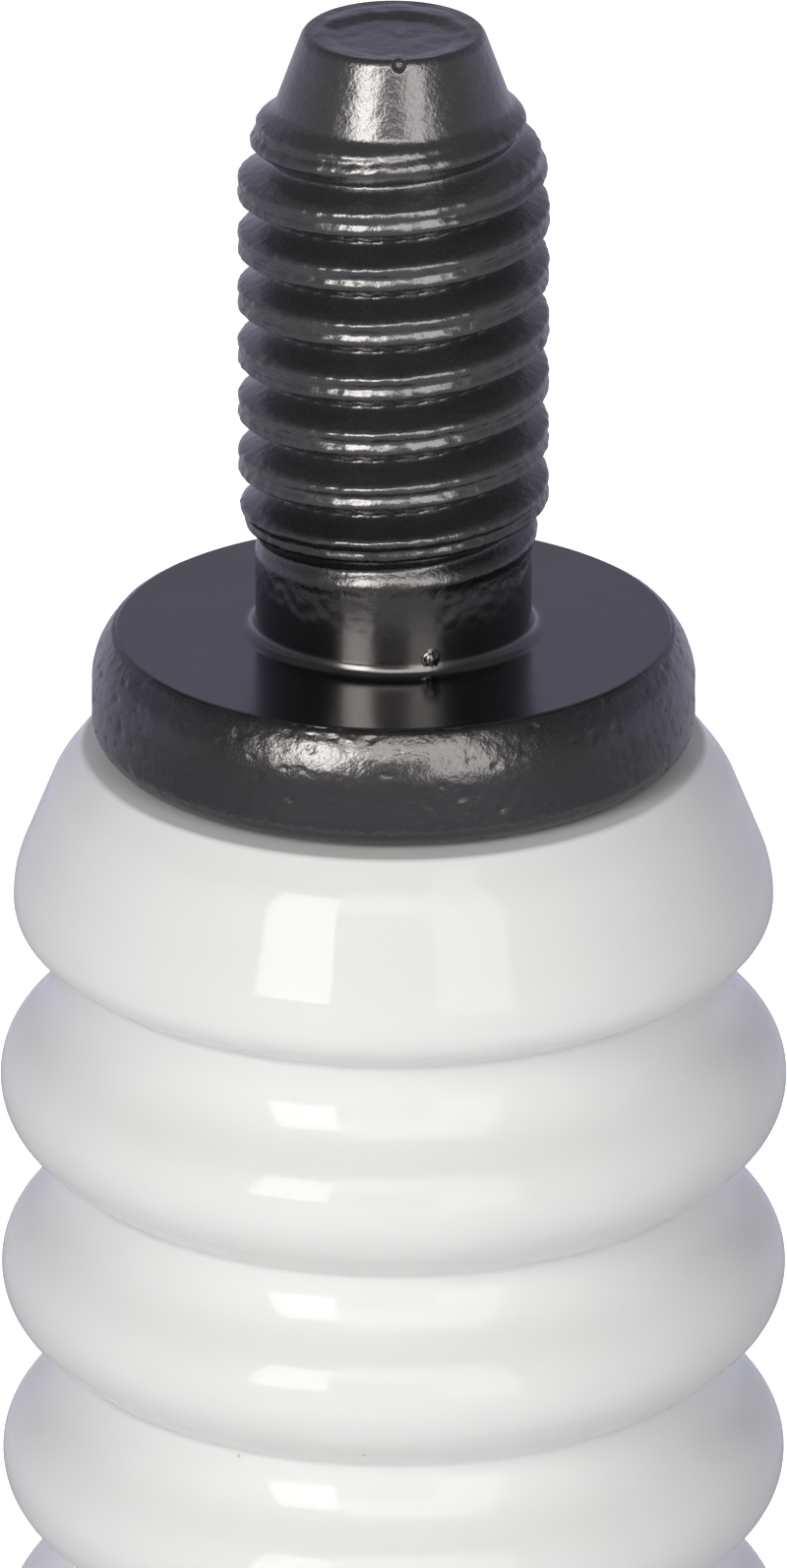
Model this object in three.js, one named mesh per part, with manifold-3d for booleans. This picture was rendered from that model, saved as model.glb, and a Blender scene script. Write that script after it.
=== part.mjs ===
// A spark plug with a ribbed porcelain insulator and a bare threaded terminal stud, in millimetres.
//
// +Z runs along the plug towards the terminal. Z = 0 is the face of the steel shell that presses the
// sealing gasket onto the cylinder head, and the axis of the plug is the Z axis. Every turned piece is
// a lathe around that axis. Pieces that touch keep a few hundredths of a millimetre between them.

import * as THREE from 'three';
import { mergeVertices } from 'three/addons/utils/BufferGeometryUtils.js';
import Module from 'manifold-3d';

const wasm = await Module();
wasm.setup();

// ---------------------------------------------------------------- driving dimensions

const GAP = 0.03; // left between two pieces that touch
const LAP = 0.5; // how far one piece of a union reaches into the next

const STUD = {
  top: 52.3, // end face of the terminal
  endRadius: 0.85, // flat end face
  endFillet: 0.33,
  coneSlope: 0.358, // radius gained for each millimetre down the tip
  leadTop: 51.2, // where the first turn of the thread starts on the cone
  leadLift: 0.155, // how far the first turns stand out of the cone
  pitch: 0.7, // M4 thread
  majorRadius: 1.885,
  rootRadius: 1.48,
  crestShare: 0.3, // share of the pitch taken by the flat crest
  rootShare: 0.2,
  crestZ: 49.21, // height of a crest on the +X side
  threadEnd: 45.55, // where the thread has run out into the shank
  runOut: 0.8, // height over which the thread fades
  shankRadius: 1.67,
  shankFillet: 0.2,
  collarTop: 44.56,
  collarFaceRadius: 3.373, // outer edge of the collar's flat top
  collarRadius: 3.661,
  rimFillet: 0.939,
  collarFootFillet: 0.38,
  stemRadius: 1.84, // inside the insulator's bore
  stemEnd: 16.2,
  gripRadius: 1.6, // bottom of the grooves that the glass holds
  gripPitch: 1.2,
  gripCount: 4,
  gripLead: 0.4, // plain length before the first groove and after the last one
  gripStep: 0.1, // how far the ridges between the grooves lie below the stem
};

const INSULATOR = {
  top: 43.04, // flat face under the terminal's collar
  topRadius: 3.73,
  topFillet: 0.1,
  brim: { r: 3.064, z: 42.0, radius: 1.2, foot: 0.384, top: 0.6545 }, // round step of the head's cone
  belly: { r: 3.265, z: 41.1, radius: 1.35, top: 0.384 }, // widest part of the conical head
  bellyFoot: { r: 4.165, z: 41.07, radius: 0.45, under: 0.995 },
  neck: { r: 4.18, z: 40.4, radius: 0.12 },
  ribRadius: 4.789,
  ribFillet: 0.857,
  ribPitch: 2.48,
  firstRibZ: 38.737,
  ribCount: 5,
  ribRise: Math.PI / 4, // angle at which a rib's round crest gives way to the flank above it
  ribUnder: 0.902, // and to the steeper flank below it
  flankLength: 0.266,
  grooveFillet: 1.0, // long sweep from the flank into the groove
  grooveHandOver: 0.07, // how far past its deepest point the sweep gives way to the corner
  cornerFillet: 0.1, // tight corner under the next rib
  barrelRadius: 5.0,
  shoulderRadius: 7.35, // wide band clamped inside the shell
  shoulderTop: 13.4,
  shoulderFoot: 6.6,
  leadRadius: 4.75, // below the band
  leadTop: 5.0,
  leadFoot: -5.2,
  noseRootRadius: 3.6,
  noseTipRadius: 2.35,
  noseTip: -21.0,
  noseTipChamfer: 0.3,
  noseRootFoot: -7.4, // the nose tapers from here to its tip
  boreRadius: 2.0,
  boreStep: -2.6, // the bore narrows between these two heights
  boreStepFoot: -3.3,
  noseBoreRadius: 1.33,
};

const SHELL = {
  reach: 19.0, // from the seat to the end of the thread
  pitch: 1.25, // M14 thread
  majorRadius: 6.96,
  rootRadius: 6.21,
  crestShare: 0.14,
  reliefRadius: 6.2,
  threadTop: -2.85,
  seatRadius: 10.3,
  seatTop: 5.4,
  grooveRadius: 8.75,
  hexFoot: 8.4,
  hexTop: 17.8,
  hexFlats: 20.8, // across the flats
  hexChamferRadius: 10.5,
  lipRadius: 8.45,
  lipTop: 20.55,
  lipMouth: 5.4,
  chamberRadius: 7.5, // holds the insulator's wide band
  chamberFoot: 4.6,
  throatRadius: 4.95,
  ledgeRadius: 4.05, // inner seat for the insulator
  ledgeTop: -5.75,
  ledgeFoot: -8.2,
  mouthRadius: 4.5,
};

const GASKET = { innerRadius: 6.6, faceRadius: 7.05, outerRadius: 10.05, height: 2.0, topZ: -0.9 };
const RING = { centreRadius: 6.82, wireRadius: 0.58, lowerZ: 14.9, upperZ: 18.55 };
const TALC = { foot: 15.85, top: 17.9 };
const WASHER = { innerRadius: 4.12, outerRadius: 4.85, offset: 10.05, thickness: 0.55 };
const SEAL = { lowerFoot: -0.55, lowerTop: 4.5, resistorTop: 13.0, upperTop: 21.4 };

const ELECTRODE = {
  radius: 1.25,
  tip: -22.6,
  headRadius: 1.86,
  headTop: -0.6,
  coreRadius: 0.72,
  coreTip: -21.4,
};

const STRAP = {
  gap: 0.8, // spark gap
  thickness: 1.3,
  width: 2.7,
  outerX: 5.85,
  bendRadius: 1.3, // inside of the bend
  endX: -1.25,
};

// Steps round the axis. Pieces that nest share one count, so that their flats line up.
const STEPS = { round: 28, slim: 24 };

// ---------------------------------------------------------------- materials

const material = (color, roughness, metalness) =>
  new THREE.MeshStandardMaterial({ color, roughness, metalness });

const BLACKENED = material(0x35353a, 0.32, 0.9);
const PORCELAIN = material(0xeeeeec, 0.12, 0.0);
const PLATED = material(0xb9bab8, 0.28, 1.0);
const NICKEL = material(0x9c9890, 0.4, 1.0);
const COPPER = material(0xb4693c, 0.4, 1.0);
const GLASS_SEAL = material(0x6b4a3a, 0.6, 0.2);
const CARBON = material(0x242424, 0.8, 0.0);
const TALCUM = material(0xd9d6cb, 0.95, 0.0);

// ---------------------------------------------------------------- solids

// Points of an arc in the (radius, z) plane, angles in radians from the outward direction.
function arc(r, z, radius, from, to, steps) {
  const points = [];
  for (let i = 0; i <= steps; i++) {
    const a = from + ((to - from) * i) / steps;
    points.push([r + radius * Math.cos(a), z + radius * Math.sin(a)]);
  }
  return points;
}

// A closed solid turned round the Z axis from (radius, z) points that run upwards on the outside.
function turned(points, steps = STEPS.round) {
  const closed = points[0][0] === 0 ? points : [...points, points[0]];
  const outline = closed.map(([r, z]) => new THREE.Vector2(r, z));
  return new THREE.LatheGeometry(outline, steps).rotateX(Math.PI / 2);
}

// A torus-shaped or flat ring: outside and inside radius, foot and top.
function ringGeometry(inner, outer, foot, top, steps = STEPS.round) {
  return turned([[inner, foot], [outer, foot], [outer, top], [inner, top]], steps);
}

function toSolid(geometry) {
  const bare = geometry.clone();
  bare.deleteAttribute('normal');
  bare.deleteAttribute('uv');
  const merged = mergeVertices(bare, 1e-4);
  const triVerts = new Uint32Array(merged.index.array);
  const vertProperties = merged.attributes.position.array;
  return new wasm.Manifold(new wasm.Mesh({ numProp: 3, vertProperties, triVerts }));
}

function toGeometry(solid) {
  const { vertProperties, triVerts } = solid.getMesh();
  const geometry = new THREE.BufferGeometry();
  geometry.setAttribute('position', new THREE.BufferAttribute(new Float32Array(vertProperties), 3));
  geometry.setIndex(new THREE.BufferAttribute(new Uint32Array(triVerts), 1));
  geometry.computeVertexNormals();
  return geometry;
}

// A right-handed threaded rod, closed by a fan at each end. Its rows follow the helix, and the row that
// ends a turn is the row that starts the next one. knots are [share of the pitch, radius] in rising order.
function threadedRod(knots, pitch, crestZ, foot, turns, steps) {
  const rowsPerTurn = knots.length;
  const rows = turns * rowsPerTurn;
  const start = crestZ - Math.ceil((crestZ - foot) / pitch) * pitch;
  const positions = [];
  const first = [];
  for (let j = 0; j < steps; j++) {
    const turn = j / steps;
    first.push(positions.length / 3);
    const count = j === 0 ? rows + rowsPerTurn : rows;
    for (let k = 0; k <= count; k++) {
      const [share, radius] = knots[k % rowsPerTurn];
      const z = start + pitch * (Math.floor(k / rowsPerTurn) + share + turn);
      const angle = 2 * Math.PI * turn;
      positions.push(radius * Math.cos(angle), radius * Math.sin(angle), z);
    }
  }
  const at = (j, k) => (j < steps ? first[j] + k : first[0] + k + rowsPerTurn);
  const triangles = [];
  for (let j = 0; j < steps; j++) {
    for (let k = 0; k < rows; k++) {
      triangles.push(at(j, k), at(j + 1, k), at(j + 1, k + 1));
      triangles.push(at(j, k), at(j + 1, k + 1), at(j, k + 1));
    }
  }
  const closeEnd = (row, z, facesUp) => {
    const loop = [];
    for (let j = 0; j <= steps; j++) loop.push(at(j, row));
    for (let k = rowsPerTurn - 1; k > 0; k--) loop.push(at(0, row + k));
    const centre = positions.length / 3;
    positions.push(0, 0, z);
    loop.forEach((vertex, i) => {
      const next = loop[(i + 1) % loop.length];
      triangles.push(...(facesUp ? [centre, vertex, next] : [centre, next, vertex]));
    });
  };
  closeEnd(0, start + pitch / 2, false);
  closeEnd(rows, start + pitch * (turns + 0.5), true);
  const geometry = new THREE.BufferGeometry();
  geometry.setAttribute('position', new THREE.Float32BufferAttribute(positions, 3));
  geometry.setIndex(triangles);
  return geometry;
}

// ---------------------------------------------------------------- terminal stud

// The outline between the shank and the end face: a cone, on which the first turns of the thread stand
// up by lift.
function tipOutline(bodyRadius, lift = 0) {
  const { top, endRadius, endFillet, coneSlope, leadTop } = STUD;
  const lean = Math.atan(coneSlope);
  const edge = arc(endRadius, top - endFillet, endFillet, lean, Math.PI / 2, 3);
  const [edgeRadius, edgeZ] = edge[0];
  const coneRadius = (z) => edgeRadius + (edgeZ - z) * coneSlope;
  const coneFoot = edgeZ - (bodyRadius - lift - edgeRadius) / coneSlope;
  const lead = [
    [coneRadius(leadTop) + lift, leadTop],
    [coneRadius(leadTop + lift), leadTop + lift],
  ];
  return [[bodyRadius, coneFoot], ...(lift > 0 ? lead : []), ...edge, [0, top]];
}

function terminalStud() {
  const s = STUD;
  const fadeTop = s.threadEnd + s.runOut;
  const ride = s.crestShare / 2;
  const valley = s.rootShare / 2;
  const knots = [
    [-ride, s.majorRadius],
    [ride, s.majorRadius],
    [0.5 - valley, s.rootRadius],
    [0.5 + valley, s.rootRadius],
  ];
  const turns = Math.ceil((s.top - s.threadEnd) / s.pitch) + 2;
  const rod = threadedRod(knots, s.pitch, s.crestZ, s.threadEnd - s.pitch, turns, STEPS.slim);
  const envelope = turned([
    [0, s.threadEnd],
    [s.shankRadius - GAP, s.threadEnd],
    [s.majorRadius, fadeTop],
    ...tipOutline(s.majorRadius, s.leadLift),
  ], STEPS.slim);

  const grip = [];
  for (let i = 0; i < s.gripCount; i++) {
    const z = s.stemEnd + s.gripLead + i * s.gripPitch;
    grip.push([s.stemRadius - s.gripStep, z], [s.gripRadius, z + s.gripPitch / 2]);
  }
  const gripTop = s.stemEnd + s.gripLead + s.gripCount * s.gripPitch;
  const neckZ = INSULATOR.top + GAP;
  const rimCentre = s.collarRadius - s.rimFillet;
  const rimTurn = Math.acos((s.collarFaceRadius - rimCentre) / s.rimFillet);
  const body = turned([
    [0, s.stemEnd],
    [s.gripRadius, s.stemEnd],
    ...grip,
    [s.stemRadius - s.gripStep, gripTop],
    [s.stemRadius, gripTop + s.gripLead],
    [s.stemRadius, neckZ],
    ...arc(s.collarRadius - s.collarFootFillet, neckZ + s.collarFootFillet, s.collarFootFillet,
      -Math.PI / 2, 0, 4),
    ...arc(rimCentre, s.collarTop - s.rimFillet * Math.sin(rimTurn), s.rimFillet, 0, rimTurn, 4),
    ...arc(s.shankRadius + s.shankFillet, s.collarTop + s.shankFillet, s.shankFillet,
      1.5 * Math.PI, Math.PI, 3),
    [s.shankRadius, s.threadEnd + GAP],
    [s.rootRadius - GAP, fadeTop],
    ...tipOutline(s.rootRadius - GAP),
  ], STEPS.slim);
  return toGeometry(toSolid(rod).intersect(toSolid(envelope)).add(toSolid(body)));
}

// ---------------------------------------------------------------- porcelain insulator

// Centre of the long sweep above the rib that is centred on z, so that the rib's flank runs into it.
function sweepCentre(z) {
  const n = INSULATOR;
  const rounds = n.ribFillet + n.grooveFillet;
  return [
    n.ribRadius - n.ribFillet + rounds * Math.cos(n.ribRise) - n.flankLength * Math.sin(n.ribRise),
    z + rounds * Math.sin(n.ribRise) + n.flankLength * Math.cos(n.ribRise),
  ];
}

// The groove above the rib that is centred on z: the long sweep, then the corner under the next rib.
function grooveOutline(z) {
  const n = INSULATOR;
  const [r, sweepZ] = sweepCentre(z);
  const handOver = Math.PI + n.grooveHandOver;
  const inset = n.grooveFillet - n.cornerFillet;
  return [
    ...arc(r, sweepZ, n.grooveFillet, Math.PI + n.ribRise, handOver, 2),
    ...arc(r + inset * Math.cos(handOver), sweepZ + inset * Math.sin(handOver), n.cornerFillet,
      handOver, Math.PI - n.ribUnder, 2).slice(1),
  ];
}

// The round top edge of the barrel, then each rib with the groove below it.
function ribOutline() {
  const n = INSULATOR;
  const wider = n.barrelRadius - n.ribRadius;
  const crestCentre = n.ribRadius - n.ribFillet;
  const barrelTop = n.firstRibZ - n.ribCount * n.ribPitch;
  const points = arc(crestCentre + wider, barrelTop - wider, n.ribFillet, 0, n.ribRise, 3);
  for (let i = n.ribCount - 1; i >= 0; i--) {
    const z = n.firstRibZ - i * n.ribPitch;
    points.push(...grooveOutline(z - n.ribPitch));
    points.push(...arc(crestCentre, z, n.ribFillet, -n.ribUnder, n.ribRise, 4));
  }
  return points;
}

function insulatorHead() {
  const { neck, bellyFoot, belly, brim, topRadius, topFillet, top } = INSULATOR;
  const { firstRibZ, grooveFillet, ribRise } = INSULATOR;
  return [
    ...arc(...sweepCentre(firstRibZ), grooveFillet, Math.PI + ribRise, Math.PI, 2),
    ...arc(neck.r, neck.z, neck.radius, Math.PI, Math.PI - bellyFoot.under, 2),
    ...arc(bellyFoot.r, bellyFoot.z, bellyFoot.radius, -bellyFoot.under, 0, 3),
    ...arc(belly.r, belly.z, belly.radius, 0, belly.top, 2),
    ...arc(brim.r, brim.z, brim.radius, brim.foot, brim.top, 2),
    ...arc(topRadius, top - topFillet, topFillet, brim.top, Math.PI / 2, 2),
  ];
}

function porcelainInsulator() {
  const n = INSULATOR;
  return turned([
    [n.noseBoreRadius, n.noseTip],
    [n.noseTipRadius - n.noseTipChamfer, n.noseTip],
    [n.noseTipRadius, n.noseTip + n.noseTipChamfer],
    [n.noseRootRadius, n.noseRootFoot],
    [n.noseRootRadius, n.leadFoot - (n.leadRadius - n.noseRootRadius)],
    [n.leadRadius, n.leadFoot],
    [n.leadRadius, n.leadTop],
    [n.shoulderRadius, n.shoulderFoot],
    [n.shoulderRadius, n.shoulderTop],
    [n.barrelRadius, n.shoulderTop + n.shoulderRadius - n.barrelRadius],
    ...ribOutline(),
    ...insulatorHead(),
    [n.boreRadius, n.top],
    [n.boreRadius, n.boreStep],
    [n.noseBoreRadius, n.boreStepFoot],
  ]);
}

// ---------------------------------------------------------------- shell

function shellOutline() {
  const s = SHELL;
  return [
    [0, -s.reach],
    [s.rootRadius - 0.35, -s.reach],
    [s.rootRadius - GAP, -s.reach + 0.35],
    [s.rootRadius - GAP, s.threadTop - 0.6],
    [s.reliefRadius, s.threadTop],
    [s.reliefRadius, -0.3],
    [s.reliefRadius + 0.3, 0],
    [s.seatRadius - 0.4, 0],
    [s.seatRadius, 0.4],
    [s.seatRadius, s.seatTop - 0.6],
    [s.seatRadius - 0.6, s.seatTop],
    [s.grooveRadius, s.seatTop + 0.5],
    [s.grooveRadius, s.hexFoot + LAP],
    [s.lipRadius, s.hexTop - LAP],
    [s.lipRadius, s.hexTop + 0.8],
    [s.lipRadius - 0.35, s.hexTop + 1.65],
    [s.lipRadius - 1.15, s.hexTop + 2.3],
    [s.lipRadius - 2.2, s.lipTop],
    [s.lipMouth + 0.2, s.lipTop - 0.1],
    [s.lipMouth, s.lipTop - 0.3],
    [0, s.lipTop - 0.3],
  ];
}

function shellBore() {
  const s = SHELL;
  return turned([
    [0, -s.reach - LAP],
    [s.mouthRadius, -s.reach - LAP],
    [s.mouthRadius, s.ledgeFoot - 0.6],
    [s.ledgeRadius, s.ledgeFoot],
    [s.ledgeRadius, s.ledgeTop - (s.throatRadius - s.ledgeRadius)],
    [s.throatRadius, s.ledgeTop],
    [s.throatRadius, s.chamberFoot - 1.6],
    [s.chamberRadius, s.chamberFoot + 0.8],
    [s.chamberRadius, s.hexTop + 1.1],
    [s.chamberRadius - 0.55, s.hexTop + 1.5],
    [s.lipMouth + 0.6, s.hexTop + 1.75],
    [s.lipMouth, s.hexTop + 2.0],
    [s.lipMouth, s.lipTop + LAP],
    [0, s.lipTop + LAP],
  ]);
}

function hexBand() {
  const s = SHELL;
  const corner = s.hexFlats / Math.sqrt(3);
  const height = s.hexTop - s.hexFoot;
  const drop = (corner - s.hexChamferRadius) * Math.tan(Math.PI / 6);
  const prism = new THREE.CylinderGeometry(corner, corner, height, 6);
  prism.rotateX(Math.PI / 2).rotateZ(Math.PI / 6).translate(0, 0, (s.hexTop + s.hexFoot) / 2);
  const chamfer = turned([
    [0, s.hexFoot - GAP],
    [s.hexChamferRadius, s.hexFoot - GAP],
    [corner + GAP, s.hexFoot + drop],
    [corner + GAP, s.hexTop - drop],
    [s.hexChamferRadius, s.hexTop + GAP],
    [0, s.hexTop + GAP],
  ]);
  return toSolid(prism).intersect(toSolid(chamfer));
}

function metalShell() {
  const s = SHELL;
  const ride = s.crestShare / 2;
  const knots = [[-ride, s.majorRadius], [ride, s.majorRadius], [0.5, s.rootRadius]];
  const turns = Math.ceil(s.reach / s.pitch) + 2;
  const rod = threadedRod(knots, s.pitch, s.threadTop, -s.reach - s.pitch, turns, STEPS.round);
  const envelope = turned([
    [0, -s.reach + 0.1],
    [s.rootRadius - 0.2, -s.reach + 0.1],
    [s.majorRadius, -s.reach + 0.9],
    [s.majorRadius, s.threadTop - 0.75],
    [s.reliefRadius - GAP, s.threadTop],
    [0, s.threadTop],
  ]);
  const thread = toSolid(rod).intersect(toSolid(envelope));
  const body = toSolid(turned(shellOutline())).add(thread).add(hexBand());
  return toGeometry(body.subtract(toSolid(shellBore())));
}

// A strap welded to the shell's end face, bent under the centre electrode.
function groundElectrode() {
  const t = STRAP;
  const root = -SHELL.reach - GAP;
  const upper = ELECTRODE.tip - t.gap;
  const lower = upper - t.thickness;
  const outer = t.bendRadius + t.thickness;
  const bendX = t.outerX - outer;
  const shape = new THREE.Shape();
  shape.moveTo(t.outerX, root);
  shape.lineTo(t.outerX - t.thickness, root);
  shape.lineTo(t.outerX - t.thickness, upper + t.bendRadius);
  shape.absarc(bendX, upper + t.bendRadius, t.bendRadius, 0, -Math.PI / 2, true);
  shape.lineTo(t.endX, upper);
  shape.lineTo(t.endX, lower);
  shape.lineTo(bendX, lower);
  shape.absarc(bendX, lower + outer, outer, -Math.PI / 2, 0, false);
  const options = { depth: t.width, bevelEnabled: false, curveSegments: 8 };
  return new THREE.ExtrudeGeometry(shape, options).rotateX(Math.PI / 2).translate(0, t.width / 2, 0);
}

// A ring of sheet steel folded over on itself: its section is rounded outside and split inside.
function sealingGasket() {
  const g = GASKET;
  const foot = g.topZ - g.height;
  const half = g.height / 2;
  const wall = g.height * 0.4;
  return turned([
    [g.faceRadius, foot],
    ...arc(g.outerRadius - half, foot + half, half, -Math.PI / 2, Math.PI / 2, 6),
    [g.faceRadius, g.topZ],
    [g.innerRadius, g.topZ - wall / 2],
    [g.innerRadius, g.topZ - wall],
    [g.faceRadius + wall, foot + half],
    [g.innerRadius, foot + wall],
    [g.innerRadius, foot + wall / 2],
  ]);
}

function packingRing(z) {
  return turned(arc(RING.centreRadius, z, RING.wireRadius, -Math.PI, Math.PI * 0.75, 7));
}

function talcPacking() {
  return ringGeometry(INSULATOR.barrelRadius + GAP, SHELL.chamberRadius - GAP, TALC.foot, TALC.top);
}

// A soft steel washer pressed into the cone between the shell's ledge and the insulator.
function seatWasher() {
  const w = WASHER;
  return turned([
    [w.innerRadius, w.innerRadius - w.offset - w.thickness],
    [w.outerRadius, w.outerRadius - w.offset - w.thickness],
    [w.outerRadius, w.outerRadius - w.offset],
    [w.innerRadius, w.innerRadius - w.offset],
  ]);
}

// ---------------------------------------------------------------- the conductor inside

function plugIn(foot, top) {
  const radius = INSULATOR.boreRadius - GAP;
  return turned([[0, foot], [radius, foot], [radius, top], [0, top]]);
}

function upperGlassSeal() {
  const radius = INSULATOR.boreRadius - GAP;
  return turned([
    [0, SEAL.resistorTop + GAP],
    [radius, SEAL.resistorTop + GAP],
    [radius, SEAL.upperTop],
    [STUD.stemRadius + GAP, SEAL.upperTop],
    [STUD.stemRadius + GAP, STUD.stemEnd - GAP],
    [0, STUD.stemEnd - GAP],
  ]);
}

function centreElectrode() {
  const e = ELECTRODE;
  const shoulder = INSULATOR.boreStep + 0.1;
  const cavity = e.coreRadius + GAP;
  return turned([
    [0, e.tip],
    [e.radius - 0.1, e.tip],
    [e.radius, e.tip + 0.1],
    [e.radius, shoulder - 0.6],
    [e.headRadius, shoulder],
    [e.headRadius, e.headTop],
    [cavity, e.headTop],
    [cavity, e.coreTip - GAP],
    [0, e.coreTip - GAP],
  ], STEPS.slim);
}

function electrodeCore() {
  const e = ELECTRODE;
  return turned([
    [0, e.coreTip],
    [e.coreRadius, e.coreTip],
    [e.coreRadius, e.headTop],
    [0, e.headTop],
  ], STEPS.slim);
}

// ---------------------------------------------------------------- assembly

const pieces = [
  ['terminal_stud', terminalStud(), BLACKENED],
  ['porcelain_insulator', porcelainInsulator(), PORCELAIN],
  ['metal_shell', metalShell(), PLATED],
  ['sealing_gasket', sealingGasket(), PLATED],
  ['ground_electrode', groundElectrode(), NICKEL],
  ['centre_electrode', centreElectrode(), NICKEL],
  ['electrode_copper_core', electrodeCore(), COPPER],
  ['lower_glass_seal', plugIn(SEAL.lowerFoot, SEAL.lowerTop), GLASS_SEAL],
  ['resistor', plugIn(SEAL.lowerTop + GAP, SEAL.resistorTop), CARBON],
  ['upper_glass_seal', upperGlassSeal(), GLASS_SEAL],
  ['upper_packing_ring', packingRing(RING.upperZ), PLATED],
  ['talc_packing', talcPacking(), TALCUM],
  ['lower_packing_ring', packingRing(RING.lowerZ), PLATED],
  ['seat_washer', seatWasher(), PLATED],
];

const plug = new THREE.Group();
for (const [name, geometry, finish] of pieces) {
  const mesh = new THREE.Mesh(geometry, finish);
  mesh.name = name;
  plug.add(mesh);
}

export default plug;
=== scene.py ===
"""A spark plug seen from just above its terminal: black stud, white ribbed insulator, plated shell."""

import math

import bpy
import numpy as np
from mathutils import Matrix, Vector, noise


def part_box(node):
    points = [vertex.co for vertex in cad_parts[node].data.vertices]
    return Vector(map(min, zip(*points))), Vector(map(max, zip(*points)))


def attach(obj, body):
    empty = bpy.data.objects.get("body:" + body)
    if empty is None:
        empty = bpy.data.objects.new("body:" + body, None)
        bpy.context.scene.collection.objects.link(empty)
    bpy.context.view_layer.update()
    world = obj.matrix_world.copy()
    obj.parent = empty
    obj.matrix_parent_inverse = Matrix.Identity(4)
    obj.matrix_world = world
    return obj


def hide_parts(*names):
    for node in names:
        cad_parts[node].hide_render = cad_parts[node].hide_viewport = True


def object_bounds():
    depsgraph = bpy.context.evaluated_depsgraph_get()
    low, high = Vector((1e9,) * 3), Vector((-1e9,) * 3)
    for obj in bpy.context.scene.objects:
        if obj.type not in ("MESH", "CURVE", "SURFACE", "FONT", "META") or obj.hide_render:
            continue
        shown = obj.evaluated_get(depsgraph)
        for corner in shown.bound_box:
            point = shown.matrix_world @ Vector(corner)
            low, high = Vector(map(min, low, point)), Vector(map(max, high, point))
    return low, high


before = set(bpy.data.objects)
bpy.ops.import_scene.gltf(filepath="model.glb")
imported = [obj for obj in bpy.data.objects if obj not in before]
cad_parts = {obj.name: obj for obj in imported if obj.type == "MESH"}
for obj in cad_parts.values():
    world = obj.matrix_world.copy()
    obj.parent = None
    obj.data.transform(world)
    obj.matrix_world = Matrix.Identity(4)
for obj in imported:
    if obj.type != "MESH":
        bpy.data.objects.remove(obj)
cad_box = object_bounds()

MM = 0.001
TAU = 2 * math.pi


# ------------------------------------------------------------------ heights and radii, in mm


def top(node):
    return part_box(node)[1].z / MM


def foot(node):
    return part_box(node)[0].z / MM


def radius(node):
    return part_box(node)[1].y / MM


STUD_TOP = top("terminal_stud")
COLLAR_RADIUS = radius("terminal_stud")
CERAMIC_TOP = top("porcelain_insulator")
SHELL_END = foot("metal_shell")
HEX_FLAT = radius("metal_shell")


# ------------------------------------------------------------------ outlines


def arc(r, z, size, start, end, count):
    """Points of an arc in the (radius, z) plane, with angles in degrees from the outward direction."""
    turns = np.radians(np.linspace(start, end, count))
    return np.column_stack([r + size * np.cos(turns), z + size * np.sin(turns)])


def fine(points, spacing):
    """The same outline with no gap wider than spacing."""
    rows = [points[0]]
    for a, b in zip(points[:-1], points[1:]):
        count = max(1, math.ceil(math.dist(a, b) / spacing))
        rows += [a + (b - a) * i / count for i in range(1, count + 1)]
    return np.array(rows)


def outline(*parts, spacing):
    """The parts one after another, without doubled points and with no gap wider than spacing."""
    points = np.vstack([np.atleast_2d(np.array(p, float)) for p in parts])
    kept = [points[0]]
    for p in points[1:]:
        if math.dist(p, kept[-1]) > 1e-5:
            kept.append(p)
    return fine(np.array(kept), spacing)


def softened(points, size):
    """The same outline with each corner cut back by up to size and rounded."""
    longest_cut = 0.45
    points = [np.array(p, float) for p in points]
    rows = [points[0]]
    for before, corner, after in zip(points, points[1:], points[2:]):
        back, on = before - corner, after - corner
        start = corner + back * min(size / np.linalg.norm(back), longest_cut)
        end = corner + on * min(size / np.linalg.norm(on), longest_cut)
        for t in np.linspace(0, 1, 6):
            rows.append((1 - t) ** 2 * start + 2 * t * (1 - t) * corner + t * t * end)
    rows.append(points[-1])
    return np.array(rows)


# ------------------------------------------------------------------ meshes


def mesh_object(name, verts, faces, sharp=50):
    mesh = bpy.data.meshes.new(name)
    mesh.from_pydata(verts, [], faces)
    mesh.validate()
    mesh.polygons.foreach_set("use_smooth", [True] * len(mesh.polygons))
    mesh.set_sharp_from_angle(angle=math.radians(sharp))
    obj = bpy.data.objects.new(name, mesh)
    bpy.context.scene.collection.objects.link(obj)
    return obj


def revolve(name, points, steps, shape=None, sharp=50):
    """A solid turned round Z. The outline runs upwards on the outside, and closes on itself or on the axis.
    shape(angle, r, z) gives each point its final radius and height."""
    points = np.array(points)
    turn = np.arange(steps) * TAU / steps
    a = np.broadcast_to(turn, (len(points), steps))
    r = np.repeat(points[:, :1], steps, axis=1)
    z = np.repeat(points[:, 1:], steps, axis=1)
    if shape:
        r, z = shape(a, r, z)
    verts = []
    rows = []
    for i, (radius_here, _) in enumerate(points):
        if radius_here == 0:
            rows.append([len(verts)] * steps)
            verts.append((0.0, 0.0, z[i].mean() * MM))
        else:
            rows.append(range(len(verts), len(verts) + steps))
            verts += list(zip(r[i] * np.cos(turn) * MM, r[i] * np.sin(turn) * MM, z[i] * MM))
    if points[0][0] > 0:
        rows.append(rows[0])
    faces = []
    for low, high in zip(rows[:-1], rows[1:]):
        for j in range(steps):
            k = (j + 1) % steps
            corners = (low[j], low[k], high[k], high[j])
            faces.append(tuple(dict.fromkeys(corners)))
    return mesh_object(name, verts, faces, sharp)


def smooth_step(x):
    x = np.clip(x, 0, 1)
    return x * x * (3 - 2 * x)


def soft_min(a, b, blend):
    """The smaller of two radii, with the edge between them rounded."""
    return -blend * np.logaddexp(-a / blend, -b / blend)


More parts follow.
